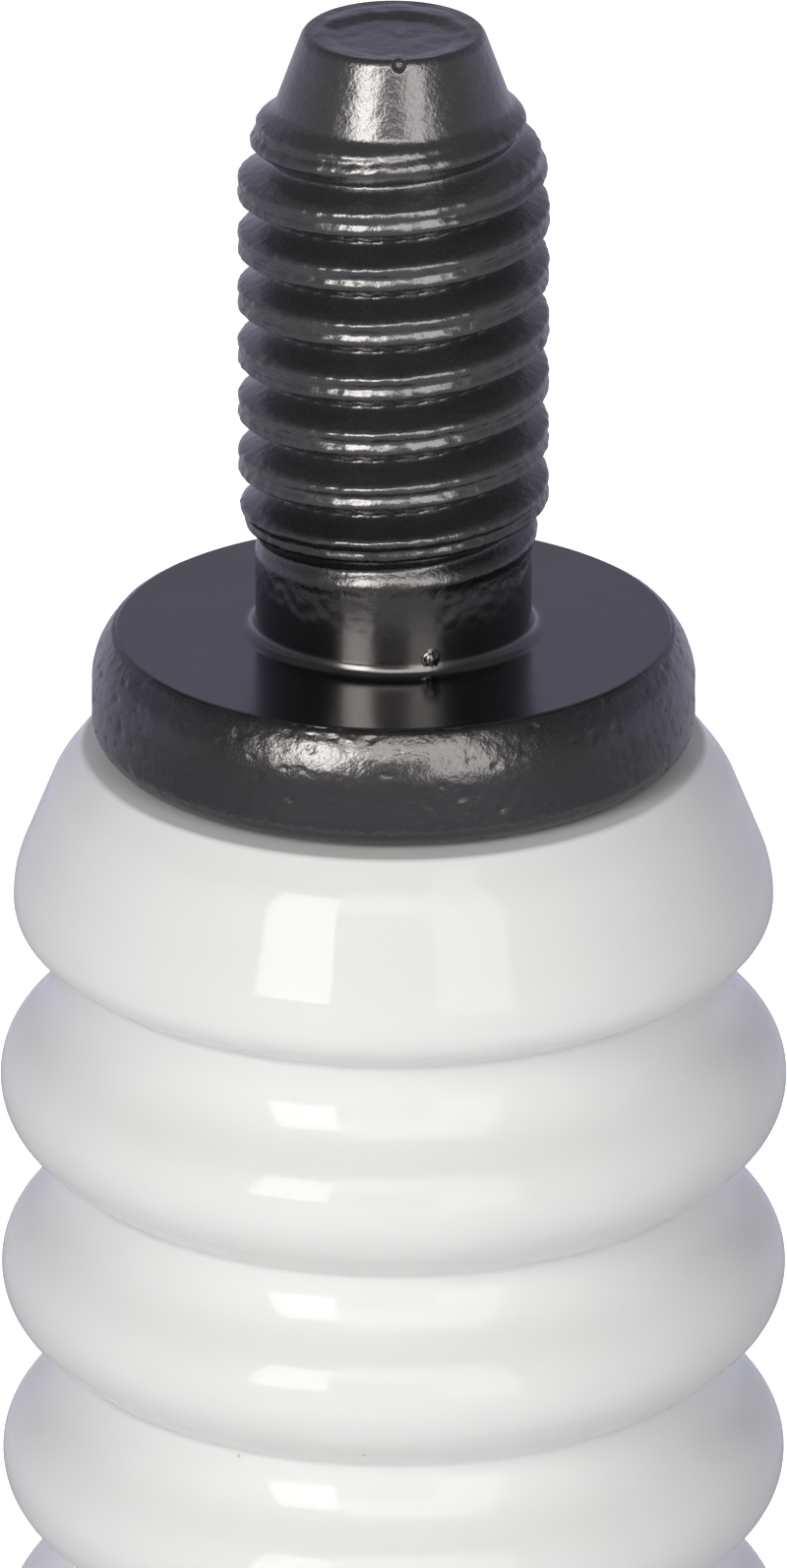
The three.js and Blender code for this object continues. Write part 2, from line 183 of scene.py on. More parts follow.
def rounded(rise, top_round, foot_round):
    """Clips a flank to 0..1 with a round shoulder at both ends."""
    low = foot_round * np.log1p(np.exp(rise / foot_round))
    return low - top_round * np.log1p(np.exp((low - 1) / top_round))


def roughened(a, r, z, where, size, height, seed):
    """Smooth noise over the chosen part of a turned surface, in mm."""
    spots = np.column_stack([(r * np.cos(a))[where], (r * np.sin(a))[where], z[where] + seed]) / size
    values = np.zeros(r.shape)
    values[where] = [height * noise.noise(spot) for spot in spots.tolist()]
    return values


# ------------------------------------------------------------------ materials


class Nodes:
    """A Principled material and short names for the nodes that feed it."""

    def __init__(self, name):
        self.material = bpy.data.materials.new(name)
        self.material.use_nodes = True
        self.tree = self.material.node_tree
        self.shader = self.tree.nodes["Principled BSDF"]
        self.place = self.add("ShaderNodeTexCoord").outputs["Object"]

    def add(self, kind, **settings):
        node = self.tree.nodes.new(kind)
        for key, value in settings.items():
            setattr(node, key, value)
        return node

    def link(self, source, target):
        self.tree.links.new(source, target)

    def stretched(self, scale):
        node = self.add("ShaderNodeMapping")
        node.inputs["Scale"].default_value = scale
        self.link(self.place, node.inputs["Vector"])
        return node.outputs["Vector"]

    def noise(self, size_mm, detail=3.0, vector=None, roughness=0.55):
        """Noise whose features are about size_mm across, from 0 to 1."""
        node = self.add("ShaderNodeTexNoise")
        node.inputs["Scale"].default_value = 1 / (size_mm * MM)
        node.inputs["Detail"].default_value = detail
        node.inputs["Roughness"].default_value = roughness
        self.link(vector or self.place, node.inputs["Vector"])
        return node.outputs["Fac"]

    def cells(self, size_mm):
        """Distance to the nearest of many scattered points, in cells of about size_mm."""
        node = self.add("ShaderNodeTexVoronoi")
        node.inputs["Scale"].default_value = 1 / (size_mm * MM)
        self.link(self.place, node.inputs["Vector"])
        return node.outputs["Distance"]

    def remap(self, value, low, high, to_low, to_high):
        node = self.add("ShaderNodeMapRange")
        ends = {"From Min": low, "From Max": high, "To Min": to_low, "To Max": to_high}
        for key, number in ends.items():
            node.inputs[key].default_value = number
        self.link(value, node.inputs["Value"])
        return node.outputs["Result"]

    def height_mask(self, low, high, to_low, to_high):
        """to_low below the height low and to_high above the height high, both heights in mm."""
        split = self.add("ShaderNodeSeparateXYZ")
        self.link(self.place, split.inputs[0])
        return self.remap(split.outputs["Z"], low * MM, high * MM, to_low, to_high)

    def maths(self, operation, a, b):
        node = self.add("ShaderNodeMath", operation=operation)
        for socket, value in zip(node.inputs, (a, b)):
            if isinstance(value, (int, float)):
                socket.default_value = value
            else:
                self.link(value, socket)
        return node.outputs["Value"]

    def blend(self, share, colour_a, colour_b):
        node = self.add("ShaderNodeMix", data_type="RGBA")
        self.link(share, node.inputs[0])
        for socket, colour in zip(node.inputs[6:8], (colour_a, colour_b)):
            if isinstance(colour, tuple):
                socket.default_value = (*colour, 1)
            else:
                self.link(colour, socket)
        return node.outputs[2]

    def bump(self, height, depth_mm, under=None):
        """Raises the surface by up to depth_mm where height is 1."""
        node = self.add("ShaderNodeBump")
        node.inputs["Distance"].default_value = depth_mm * MM
        self.link(height, node.inputs["Height"])
        if under:
            self.link(under, node.inputs["Normal"])
        return node.outputs["Normal"]

    def finish(self, colour=None, roughness=None, normal=None, **uniform):
        for source, key in ((colour, "Base Color"), (roughness, "Roughness"), (normal, "Normal")):
            if source is not None:
                self.link(source, self.shader.inputs[key])
        for key, value in uniform.items():
            self.shader.inputs[key.replace("_", " ")].default_value = value
        return self.material


def black_oxide():
    """Blackened steel: mirror smooth on the turned collar and shank, grained on the rim, thread and tip."""
    m = Nodes("black_oxide")
    rim = m.height_mask(COLLAR_TOP - 0.06, COLLAR_TOP - 0.01, 1.0, 0.0)
    thread = m.height_mask(RUN_OUT_FOOT - 0.2, RUN_OUT_FOOT + 0.1, 0.0, 1.0)
    worked = m.maths("ADD", rim, thread)
    scuffed = m.height_mask(RUN_OUT_TOP - 0.3, RUN_OUT_TOP + 0.3, 0.0, 1.0)
    patches = m.noise(0.9, detail=4)
    grain = m.noise(0.035, detail=2)
    peel = m.noise(0.16, detail=3, roughness=0.6)
    smooth_colour = m.blend(patches, (0.118, 0.113, 0.112), (0.150, 0.145, 0.143))
    scuffed_colour = m.blend(patches, (0.140, 0.136, 0.136), (0.178, 0.173, 0.172))
    colour = m.blend(scuffed, smooth_colour, scuffed_colour)
    metallic = m.maths("SUBTRACT", 1.0, m.maths("MULTIPLY", scuffed, 0.12))
    m.link(metallic, m.shader.inputs["Metallic"])
    smooth_roughness = m.remap(grain, 0.3, 0.7, 0.17, 0.23)
    roughness = m.maths("ADD", smooth_roughness, m.maths("MULTIPLY", worked, 0.05))
    normal = m.bump(m.maths("MULTIPLY", grain, worked), 0.0026)
    normal = m.bump(m.maths("MULTIPLY", peel, worked), 0.010, under=normal)
    normal = m.bump(peel, 0.0012, under=normal)
    return m.finish(colour, roughness, normal)


def glazed_porcelain():
    """White glaze, faintly rippled and pitted, with a few small dark specks."""
    m = Nodes("glazed_porcelain")
    cloud = m.noise(2.5, detail=2)
    ripple = m.noise(1.3, detail=2)
    pits = m.cells(0.35)
    specks = m.remap(m.cells(1.7), 0.014, 0.03, 1.0, 0.0)
    speck_colour = (0.30, 0.27, 0.24)
    glaze = m.blend(cloud, (0.734, 0.736, 0.728), (0.769, 0.771, 0.763))
    colour = m.blend(specks, glaze, speck_colour)
    roughness = m.remap(m.noise(0.5), 0.3, 0.7, 0.03, 0.07)
    normal = m.bump(ripple, 0.006)
    normal = m.bump(m.remap(pits, 0.0, 0.08, 0.0, 1.0), 0.0006, under=normal)
    return m.finish(colour, roughness, normal, Specular_IOR_Level=0.2)


def plated_steel():
    m = Nodes("plated_steel")
    rings = m.noise(0.09, detail=3, vector=m.stretched((0.04, 0.04, 1.0)))
    wear = m.noise(3.0, detail=5)
    colour = m.blend(wear, (0.52, 0.52, 0.50), (0.66, 0.66, 0.65))
    roughness = m.remap(m.maths("ADD", rings, wear), 0.7, 1.3, 0.17, 0.36)
    normal = m.bump(rings, 0.004)
    normal = m.bump(m.noise(0.05), 0.0012, under=normal)
    return m.finish(colour, roughness, normal, Metallic=1.0)


def nickel_alloy():
    m = Nodes("nickel_alloy")
    drawn = m.noise(0.05, detail=3, vector=m.stretched((0.06, 1.0, 1.0)))
    colour = m.blend(m.noise(0.8, detail=4), (0.36, 0.34, 0.31), (0.50, 0.48, 0.45))
    roughness = m.remap(drawn, 0.3, 0.7, 0.28, 0.48)
    return m.finish(colour, roughness, m.bump(drawn, 0.004), Metallic=1.0)


def pressed_powder(name, light, dark, grain_mm):
    m = Nodes(name)
    grain = m.noise(grain_mm, detail=4)
    roughness = m.remap(grain, 0.3, 0.7, 0.75, 0.95)
    return m.finish(m.blend(grain, dark, light), roughness, m.bump(grain, 0.01))


def drawn_copper():
    m = Nodes("drawn_copper")
    grain = m.noise(0.06, detail=3, vector=m.stretched((1.0, 1.0, 0.05)))
    colour = m.blend(grain, (0.62, 0.28, 0.15), (0.80, 0.42, 0.26))
    roughness = m.remap(grain, 0.3, 0.7, 0.25, 0.4)
    return m.finish(colour, roughness, m.bump(grain, 0.002), Metallic=1.0)


# ------------------------------------------------------------------ the terminal stud

THREAD_PITCH = 0.7
THREAD_CREST_Z = 49.21
THREAD_TOP_RADIUS = 1.885
THREAD_ROOT_RADIUS = 1.48
# Where a flank ends and starts, in pitches from the middle of the crest.
FLANK_FOOT = 0.46
FLANK_TOP = 0.20
FLANK_TOP_ROUND = 0.06
FLANK_FOOT_ROUND = 0.13
# The crests are a little sunk, roughened, and folded along a seam in the middle.
CREST_SINK = 0.008
CREST_BURR = 0.014
SEAM_DEPTH = 0.034
SEAM_WIDTH = 0.075
BLANK_BURR = 0.004
STEM_RADIUS = 1.84
STEM_END_RADIUS = 1.6
SEAT_GAP = 0.03
SHANK_RADIUS = 1.67
SHANK_FILLET = 0.17
COLLAR_TOP = 44.56
COLLAR_FACE_RADIUS = 3.373
RIM_FILLET = 0.939
RIM_FOOT_FILLET = 0.38
RIM_INNER_RADIUS = 2.5
RIM_SINK = 0.008
RIM_PIT_DEPTH = 0.012
RUN_OUT_FOOT = 45.5
RUN_OUT_TOP = 46.35
END_Z = STUD_TOP - 0.06
END_RADIUS = 0.97
END_FILLET = 0.16
END_DISH = 0.05
CONE_SLOPE = 0.358
LEAD_TOP = 51.1
LEAD_RAMP = 0.25
LEAD_LIFT = 0.155
STUD_STEPS = 512


def tip_radius(z):
    """Radius of the turned tip at each height: a cone with a rounded edge below the end face."""
    lean = math.atan(CONE_SLOPE)
    edge_r = END_RADIUS + END_FILLET * math.cos(lean)
    edge_z = END_Z - END_FILLET + END_FILLET * math.sin(lean)
    cone = edge_r + (edge_z - z) * CONE_SLOPE
    rise = np.clip((z - END_Z + END_FILLET) / END_FILLET, 0, 1)
    return np.where(z > edge_z, END_RADIUS + END_FILLET * np.sqrt(1 - rise ** 2), cone)


def end_dish(a, r):
    """How deep the sheared end face is sunk: most in a round patch that leans towards the front."""
    x, y = r * np.cos(a), r * np.sin(a)
    half_width, half_depth, forward = 0.88, 0.78, 0.16
    patch = np.sqrt((x / half_width) ** 2 + ((y + forward) / half_depth) ** 2)
    edge_droop = 0.02 * smooth_step((r - 0.8) / 0.17)
    return END_DISH * smooth_step((1.06 - patch) / 0.3) + edge_droop


def blister(a, r, z, azimuth, height, width, rise):
    """A small round swelling, given by the azimuth in degrees from the camera's side towards +X."""
    centre = math.radians(azimuth - 90)
    turn = (a - centre + math.pi) % TAU - math.pi
    away = np.sqrt((turn * r) ** 2 + (z - height) ** 2) / width
    return rise * np.sqrt(np.clip(1 - away ** 2, 0, None))


def stud_shape(a, r, z):
    """Rolls the thread into the blank, wears its crests and end, and gives the collar's rim its peel."""
    bar = (z > RUN_OUT_FOOT - 0.4) & (r > END_RADIUS + 0.01)
    share = (z - THREAD_CREST_Z) / THREAD_PITCH - a / TAU
    away = np.abs(share - np.round(share))
    flank = (FLANK_FOOT - away) / (FLANK_FOOT - FLANK_TOP)
    height = rounded(flank, FLANK_TOP_ROUND, FLANK_FOOT_ROUND)
    burr = roughened(a, r, z, bar, size=0.14, height=1.0, seed=3.0)
    seam = np.exp(-(away / SEAM_WIDTH) ** 2)
    cone = tip_radius(z)
    root = np.minimum(THREAD_ROOT_RADIUS, cone)
    lead = smooth_step((LEAD_TOP + LEAD_RAMP - z) / LEAD_RAMP)
    crest = smooth_step((height - 0.75) / 0.2) * lead
    top_radius = np.minimum(THREAD_TOP_RADIUS, cone + LEAD_LIFT * lead)
    thread = root + (top_radius - root) * height
    thread = thread + crest * (CREST_BURR * burr - CREST_SINK - SEAM_DEPTH * seam)
    grown = smooth_step((z - RUN_OUT_FOOT) / (RUN_OUT_TOP - RUN_OUT_FOOT))
    blank = SHANK_RADIUS + BLANK_BURR * burr
    threaded = np.where(z < RUN_OUT_TOP + 0.1, blank + (thread - blank) * grown, thread)
    rim = (z < COLLAR_TOP - 0.02) & (z > CERAMIC_TOP + 0.1) & (r > RIM_INNER_RADIUS)
    fine_peel = roughened(a, r, z, rim, size=0.11, height=0.004, seed=9.0)
    coarse_peel = roughened(a, r, z, rim, size=0.28, height=0.005, seed=17.0)
    pits = smooth_step((roughened(a, r, z, rim, size=0.13, height=1.0, seed=31.0) - 0.42) / 0.15)
    r = np.where(bar, threaded, r)
    r = np.where(rim, r - RIM_SINK + (fine_peel + coarse_peel) - RIM_PIT_DEPTH * pits, r)
    shank = (z > COLLAR_TOP + 0.02) & (z < RUN_OUT_FOOT)
    swelling = blister(a, r, z, azimuth=15.5, height=COLLAR_TOP + 0.21, width=0.09, rise=0.07)
    r = np.where(shank, r + swelling, r)
    end = (z > END_Z - 0.01) & (r <= END_RADIUS + 0.01)
    uneven = roughened(a, r, z, end, size=0.25, height=0.01, seed=5.0)
    z = np.where(end, z - end_dish(a, r) - 0.01 - uneven, z)
    chip = blister(a, r, z, azimuth=3.5, height=END_Z - 0.06, width=0.085, rise=0.06)
    r = np.where(z > LEAD_TOP + LEAD_RAMP, r - chip, r)
    return r, z


def terminal_stud():
    """Stem, collar, shank and threaded bar, turned in one piece."""
    neck = foot("terminal_stud")
    under = CERAMIC_TOP + SEAT_GAP
    rim_centre = COLLAR_RADIUS - RIM_FILLET
    rim_turn = math.degrees(math.acos((COLLAR_FACE_RADIUS - rim_centre) / RIM_FILLET))
    rim_z = COLLAR_TOP - RIM_FILLET * math.sin(math.radians(rim_turn))
    chamfer_top = neck + 0.3
    stem = outline(
        (0, neck), (STEM_END_RADIUS, neck), (STEM_RADIUS, chamfer_top), (STEM_RADIUS, under), spacing=1
    )
    collar = outline(
        (STEM_RADIUS, under),
        arc(COLLAR_RADIUS - RIM_FOOT_FILLET, under + RIM_FOOT_FILLET, RIM_FOOT_FILLET, -90, 0, 24),
        arc(rim_centre, rim_z, RIM_FILLET, 0, rim_turn - 3, 40),
        arc(COLLAR_FACE_RADIUS - 0.05, COLLAR_TOP - 0.06, 0.06, 40, 90, 8),
        arc(SHANK_RADIUS + SHANK_FILLET, COLLAR_TOP + SHANK_FILLET, SHANK_FILLET, 270, 180, 12),
        (SHANK_RADIUS, RUN_OUT_FOOT),
        spacing=0.03,
    )
    rows = np.arange(RUN_OUT_FOOT + 0.02, END_Z - 0.004, 0.02)
    shaft = np.column_stack([np.full_like(rows, SHANK_RADIUS), rows])
    end = outline((END_RADIUS, END_Z), (0, END_Z), spacing=0.03)
    turned = np.vstack([stem[:-1], collar, shaft, end])
    return revolve("terminal_stud_turned", turned, STUD_STEPS, stud_shape)


# ------------------------------------------------------------------ the insulator

RIB_RADIUS = 4.789
RIB_FILLET = 0.857
RIB_PITCH = 2.48
RIB_RISE = 45
RIB_UNDER = 51.7
FLANK_LENGTH = 0.266
GROOVE_SWEEP = 1.0
GROOVE_CORNER = 0.1
GROOVE_HAND_OVER = 4
FIRST_RIB_Z = 38.737
RIB_COUNT = 5
BARREL_RADIUS = 5.0
HEAD_UNDER = 57
BRIM_FOOT = 22
BRIM_TOP = 37.5
NECK_CORNER = 0.12
NECK_CORNER_RADIUS = 4.18
NECK_CORNER_Z = 40.4
HEAD_RADIUS = 4.615
HEAD_UNDER_FILLET = 0.45
HEAD_UNDER_Z = 41.07
HEAD_SIDE_ROUND = 1.35
HEAD_SIDE_Z = 41.1
BRIM_ROUND = 1.2
BRIM_CENTRE_RADIUS = 3.064
BRIM_CENTRE_Z = 42.0
TOP_EDGE_FILLET = 0.1
TOP_EDGE_RADIUS = 3.73
NOSE_END_RADIUS = 2.05
NOSE_END_FILLET = 0.3
NOSE_ROOT_RADIUS = 3.6
NOSE_ROOT_Z = -7.4
CORE_RADIUS = 4.75
CORE_FOOT = -5.2
CORE_TOP = 5.0
GRIP_RADIUS = 7.35
GRIP_FOOT = 6.6
GRIP_TOP = 13.4
BARREL_FOOT = 15.75
BORE_RADIUS = 2.0
NOSE_BORE_RADIUS = 1.33
BORE_STEP_TOP = -2.6
BORE_STEP_FOOT = -3.3


def sweep_centre(z):
    """Centre of the long sweep above the rib that is centred on z."""
    rounds = RIB_FILLET + GROOVE_SWEEP
    rise = math.radians(RIB_RISE)
    return (
        RIB_RADIUS - RIB_FILLET + rounds * math.cos(rise) - FLANK_LENGTH * math.sin(rise),
        z + rounds * math.sin(rise) + FLANK_LENGTH * math.cos(rise),
    )


def groove(z):
    """The groove above the rib that is centred on z: the long sweep, then the corner under the next rib."""
    r, sweep_z = sweep_centre(z)
    hand_over = 180 + GROOVE_HAND_OVER
    inset = GROOVE_SWEEP - GROOVE_CORNER
    turn = math.radians(hand_over)
    corner = arc(r + inset * math.cos(turn), sweep_z + inset * math.sin(turn), GROOVE_CORNER,
                 hand_over, 180 - RIB_UNDER, 12)
    return np.vstack([arc(r, sweep_z, GROOVE_SWEEP, 180 + RIB_RISE, hand_over, 24), corner[1:]])


def ribs():
    """The round top edge of the barrel, then each rib with the groove below it."""
    wider = BARREL_RADIUS - RIB_RADIUS
    crest_centre = RIB_RADIUS - RIB_FILLET
    barrel_top = FIRST_RIB_Z - RIB_COUNT * RIB_PITCH
    parts = [arc(crest_centre + wider, barrel_top - wider, RIB_FILLET, 0, RIB_RISE, 16)]
    for i in reversed(range(RIB_COUNT)):
        z = FIRST_RIB_Z - i * RIB_PITCH
        parts.append(groove(z - RIB_PITCH))
        parts.append(arc(crest_centre, z, RIB_FILLET, -RIB_UNDER, RIB_RISE, 32))
    return parts


def head():
    """From the long sweep above the first rib, round the neck's corner and up the head to its top face."""
    return [
        arc(*sweep_centre(FIRST_RIB_Z), GROOVE_SWEEP, 180 + RIB_RISE, 180, 24),
        arc(NECK_CORNER_RADIUS, NECK_CORNER_Z, NECK_CORNER, 180, 180 - HEAD_UNDER, 10),
        arc(HEAD_RADIUS - HEAD_UNDER_FILLET, HEAD_UNDER_Z, HEAD_UNDER_FILLET, -HEAD_UNDER, 0, 24),
        arc(HEAD_RADIUS - HEAD_SIDE_ROUND, HEAD_SIDE_Z, HEAD_SIDE_ROUND, 0, BRIM_FOOT, 16),
        arc(BRIM_CENTRE_RADIUS, BRIM_CENTRE_Z, BRIM_ROUND, BRIM_FOOT, BRIM_TOP, 14),
        arc(TOP_EDGE_RADIUS, CERAMIC_TOP - TOP_EDGE_FILLET, TOP_EDGE_FILLET, BRIM_TOP, 90, 10),
    ]


def insulator():
    """Nose, core and grip below the barrel, then the ribs and the head, and the stepped bore inside."""
    lowest = foot("porcelain_insulator")
    shoulder = CORE_RADIUS - NOSE_ROOT_RADIUS
    body = outline(
        (NOSE_BORE_RADIUS, lowest),
        (NOSE_END_RADIUS, lowest),
        arc(NOSE_END_RADIUS, lowest + NOSE_END_FILLET, NOSE_END_FILLET, -90, 0, 8),
        (NOSE_ROOT_RADIUS, NOSE_ROOT_Z),
        (NOSE_ROOT_RADIUS, CORE_FOOT - shoulder),
        (CORE_RADIUS, CORE_FOOT),
        (CORE_RADIUS, CORE_TOP),
        (GRIP_RADIUS, GRIP_FOOT),
        (GRIP_RADIUS, GRIP_TOP),
        (BARREL_RADIUS, BARREL_FOOT),
        spacing=1,
    )
    seen = outline((BARREL_RADIUS, BARREL_FOOT + 0.05), *ribs(), *head(), spacing=0.12)
    bore = outline(
        (BORE_RADIUS, CERAMIC_TOP),
        (BORE_RADIUS, BORE_STEP_TOP),
        (NOSE_BORE_RADIUS, BORE_STEP_FOOT),
        (NOSE_BORE_RADIUS, lowest + 0.01),
        spacing=3,
    )
    return revolve("porcelain_insulator_glazed", np.vstack([body, seen, bore]), 256)


# ------------------------------------------------------------------ the shell and its gasket

SHELL_PITCH = 1.25
SHELL_THREAD_RADIUS = 6.96
SHELL_ROOT_RADIUS = 6.21
SHELL_CREST_SHARE = 0.07
SHELL_THREAD_TOP = -2.85
THREAD_LEAD_IN = 0.9
THREAD_LEAD_OUT = 0.75
SEAT_RADIUS = 10.3
SEAT_SIDE_TOP = 4.8
SEAT_TOP = 5.4
SEAT_BEVEL = 0.6
WAIST_RADIUS = 8.75
WAIST_FOOT = 5.9
WAIST_MIDDLE = 7.1
WAIST_SWELL = 0.16
HEX_FOOT = 8.4
HEX_TOP = 17.8
HEX_CORNER = HEX_FLAT / math.cos(TAU / 12)
HEX_CHAMFER_RADIUS = 10.5
HEX_CHAMFER = 30
LIP_RADIUS = 8.45
LIP_TOP = top("metal_shell")
LIP_MOUTH = 5.4
SHELL_MOUTH_RADIUS = 4.5
SHELL_MOUTH_TOP = -8.8
SHELL_LEDGE_RADIUS = 4.05
SHELL_LEDGE_FOOT = -8.2
SHELL_LEDGE_TOP = -6.65
SHELL_BORE_RADIUS = 4.95
SHELL_BORE_FOOT = -5.75
SHELL_BORE_TOP = 3.0
CAVITY_RADIUS = 7.5
CAVITY_FOOT = 5.4
CAVITY_TOP = 18.9


def hexagon(a, z):
    """Radius of the spanner hexagon, with its corners a little worn and its ends chamfered."""
    turn = a % (TAU / 6) - TAU / 12
    sides = soft_min(HEX_FLAT / np.cos(turn), HEX_FLAT / np.cos(turn - TAU / 6), 0.05)
    sides = soft_min(sides, HEX_FLAT / np.cos(turn + TAU / 6), 0.05)
    from_end = np.minimum(z - HEX_FOOT, HEX_TOP - z)
    return soft_min(sides, HEX_CHAMFER_RADIUS + from_end / math.tan(math.radians(HEX_CHAMFER)), 0.06)


def shell_thread(a, z):
    """Radius of the M14 thread, tapered at both ends."""
    share = (z - SHELL_THREAD_TOP) / SHELL_PITCH - a / TAU
    away = np.abs(share - np.round(share))
    height = rounded((0.5 - away) / (0.5 - SHELL_CREST_SHARE), 0.05, 0.08)
    thread = SHELL_ROOT_RADIUS + (SHELL_THREAD_RADIUS - SHELL_ROOT_RADIUS) * height
    full = SHELL_THREAD_RADIUS + 0.05
    ends = np.interp(
        z,
        (SHELL_END + 0.1, SHELL_END + THREAD_LEAD_IN, SHELL_THREAD_TOP - THREAD_LEAD_OUT, SHELL_THREAD_TOP),
        (SHELL_ROOT_RADIUS - 0.2, full, full, SHELL_ROOT_RADIUS),
    )
    return soft_min(thread, ends, 0.02)


def shell_shape(a, r, z):
    """Cuts the hexagon and the thread into the turned outside."""
    r = np.where(r > HEX_CORNER - 0.1, hexagon(a, z), r)
    threaded = (z > SHELL_END + 0.3) & (z < SHELL_THREAD_TOP) & (r > SHELL_ROOT_RADIUS + 0.1)
    return np.where(threaded, shell_thread(a, z), r), z


def metal_shell():
    """Up the outside from the end of the thread to the crimped lip, then down the stepped bore."""
    ring_face = HEX_CHAMFER_RADIUS - 0.2
    halfway = -15
    end_face = softened([
        (SHELL_MOUTH_RADIUS, halfway),
        (SHELL_MOUTH_RADIUS, SHELL_END),
        (SHELL_ROOT_RADIUS - 0.35, SHELL_END),
        (SHELL_ROOT_RADIUS, SHELL_END + 0.33),
    ], 0.15)
    thread = [(SHELL_THREAD_RADIUS, SHELL_END + 0.35), (SHELL_THREAD_RADIUS, SHELL_THREAD_TOP - 0.01)]
    seat = softened([
        (SHELL_ROOT_RADIUS, SHELL_THREAD_TOP),
        (SHELL_ROOT_RADIUS, -0.3),
        (SHELL_ROOT_RADIUS + 0.3, 0),
        (SEAT_RADIUS - 0.4, 0),
        (SEAT_RADIUS, 0.4),
        (SEAT_RADIUS, SEAT_SIDE_TOP),
        (SEAT_RADIUS - SEAT_BEVEL, SEAT_TOP),
        (WAIST_RADIUS, WAIST_FOOT),
        (WAIST_RADIUS + WAIST_SWELL, WAIST_MIDDLE),
        (WAIST_RADIUS, HEX_FOOT),
        (ring_face, HEX_FOOT),
    ], 0.3)
    spanner = [(HEX_CORNER, HEX_FOOT), (HEX_CORNER, HEX_TOP)]
    lip = [
        (ring_face, HEX_TOP),
        (LIP_RADIUS, HEX_TOP),
        (LIP_RADIUS, LIP_TOP - 1.95),
        (LIP_RADIUS - 0.35, LIP_TOP - 1.1),
        (LIP_RADIUS - 1.15, LIP_TOP - 0.45),
        (LIP_RADIUS - 2.2, LIP_TOP),
        (LIP_MOUTH, LIP_TOP - 0.1),
        (LIP_MOUTH, LIP_TOP - 0.75),
        (LIP_MOUTH + 0.6, LIP_TOP - 1.0),
        (CAVITY_RADIUS - 0.55, LIP_TOP - 1.25),
    ]
    bore = [
        (CAVITY_RADIUS, CAVITY_TOP),
        (CAVITY_RADIUS, CAVITY_FOOT),
        (SHELL_BORE_RADIUS, SHELL_BORE_TOP),
        (SHELL_BORE_RADIUS, SHELL_BORE_FOOT),
        (SHELL_LEDGE_RADIUS, SHELL_LEDGE_TOP),
        (SHELL_LEDGE_RADIUS, SHELL_LEDGE_FOOT),
        (SHELL_MOUTH_RADIUS, SHELL_MOUTH_TOP),
        (SHELL_MOUTH_RADIUS, halfway + 0.1),
    ]
    lip_and_bore = softened(lip + bore, 0.4)
    parts = ((end_face, 0.3), (thread, 0.06), (seat, 0.2), (spanner, 0.05), (lip_and_bore, 0.4))
    turned = np.vstack([outline(part, spacing=spacing) for part, spacing in parts])
    return revolve("metal_shell_turned", turned, 300, shell_shape, sharp=35)


def sealing_gasket():
    """A ring of sheet steel folded over on itself, round outside and split inside."""
    low, high = foot("sealing_gasket"), top("sealing_gasket")
    outer = radius("sealing_gasket")
    half = (high - low) / 2
    wall = 0.8
    inner, face, seam = 6.6, 7.05, 8.2
    points = softened([
        (seam, low),
        *arc(outer - half, low + half, half, -90, 90, 9),
        (face, high),
        (inner, high - wall / 2),
        (inner, high - wall),
        (face + wall, low + half),
        (inner, low + wall),
        (inner, low + wall / 2),
        (face, low),
        (seam - 0.1, low),
    ], 0.15)
    return revolve("sealing_gasket_folded", outline(points, spacing=0.1), 192)


# ------------------------------------------------------------------ the electrodes

STRAP_THICKNESS = 1.3
STRAP_WIDTH = 2.7
STRAP_OUTER_X = 5.85
STRAP_BEND = 1.3
STRAP_END_X = -1.25
STRAP_CORNER = 0.22
WELD_BEAD = 0.16
WELD_REACH = 0.4
SHEAR_DROP = 0.06
ELECTRODE_RADIUS = 1.25
ELECTRODE_HEAD_RADIUS = 1.86
ELECTRODE_SHOULDER = -2.5
CORE_BORE_RADIUS = 0.73
CORE_BORE_FOOT = -21.41


def strap_stations():
    """x, z and outward direction along the strap's middle line, from the shell's end face to its end."""
    middle = STRAP_BEND + STRAP_THICKNESS / 2
    x = STRAP_OUTER_X - STRAP_THICKNESS / 2
    low = foot("ground_electrode") + STRAP_THICKNESS / 2
    stations = [(x, z, 1.0, 0.0) for z in np.linspace(SHELL_END, low + middle, 40)]
    for turn in np.radians(np.linspace(0, -90, 25)[1:]):
        out, down = math.cos(turn), math.sin(turn)
        stations.append((x - middle + middle * out, low + middle + middle * down, out, down))
    stations += [(x_here, low, 0.0, -1.0) for x_here in np.linspace(x - middle, STRAP_END_X, 30)[1:]]
    return stations


def ground_electrode():
    """A flat strap with round edges, welded to the shell and bent under the centre electrode."""
    section = []
    for across, along, start in ((1, -1, -90), (1, 1, 0), (-1, 1, 90), (-1, -1, 180)):
        centre_across = across * (STRAP_THICKNESS / 2 - STRAP_CORNER)
        centre_along = along * (STRAP_WIDTH / 2 - STRAP_CORNER)
        section += [tuple(p) for p in arc(centre_across, centre_along, STRAP_CORNER, start, start + 90, 6)]
    verts = []
    for x, z, out, down in strap_stations():
        weld = math.exp(-((SHELL_END - z) / WELD_REACH) ** 2)
        bead = WELD_BEAD * weld * (1 + 0.8 * noise.noise((x, z * 3, 4.0)))
        sheared = SHEAR_DROP * smooth_step(1 - (x - STRAP_END_X) / 0.09) if down == -1.0 else 0
        grow = bead - sheared
        for across, along in section:
            lump = bead * 0.6 * noise.noise((across * 3, along * 3, 8.0))
            away = across * (1 + (grow + lump) / (STRAP_THICKNESS / 2))
            side = along * (1 + (grow + lump) / (STRAP_WIDTH / 2))
            verts.append(((x + away * out) * MM, side * MM, (z + away * down) * MM))
    count = len(section)
    last = len(verts) - count
    faces = [tuple(range(count)), tuple(reversed(range(last, last + count)))]
    for row in range(0, last, count):
        for j in range(count):
            k = (j + 1) % count
            faces.append((row + j, row + count + j, row + count + k, row + k))
    return mesh_object("ground_electrode_strap", verts, faces)


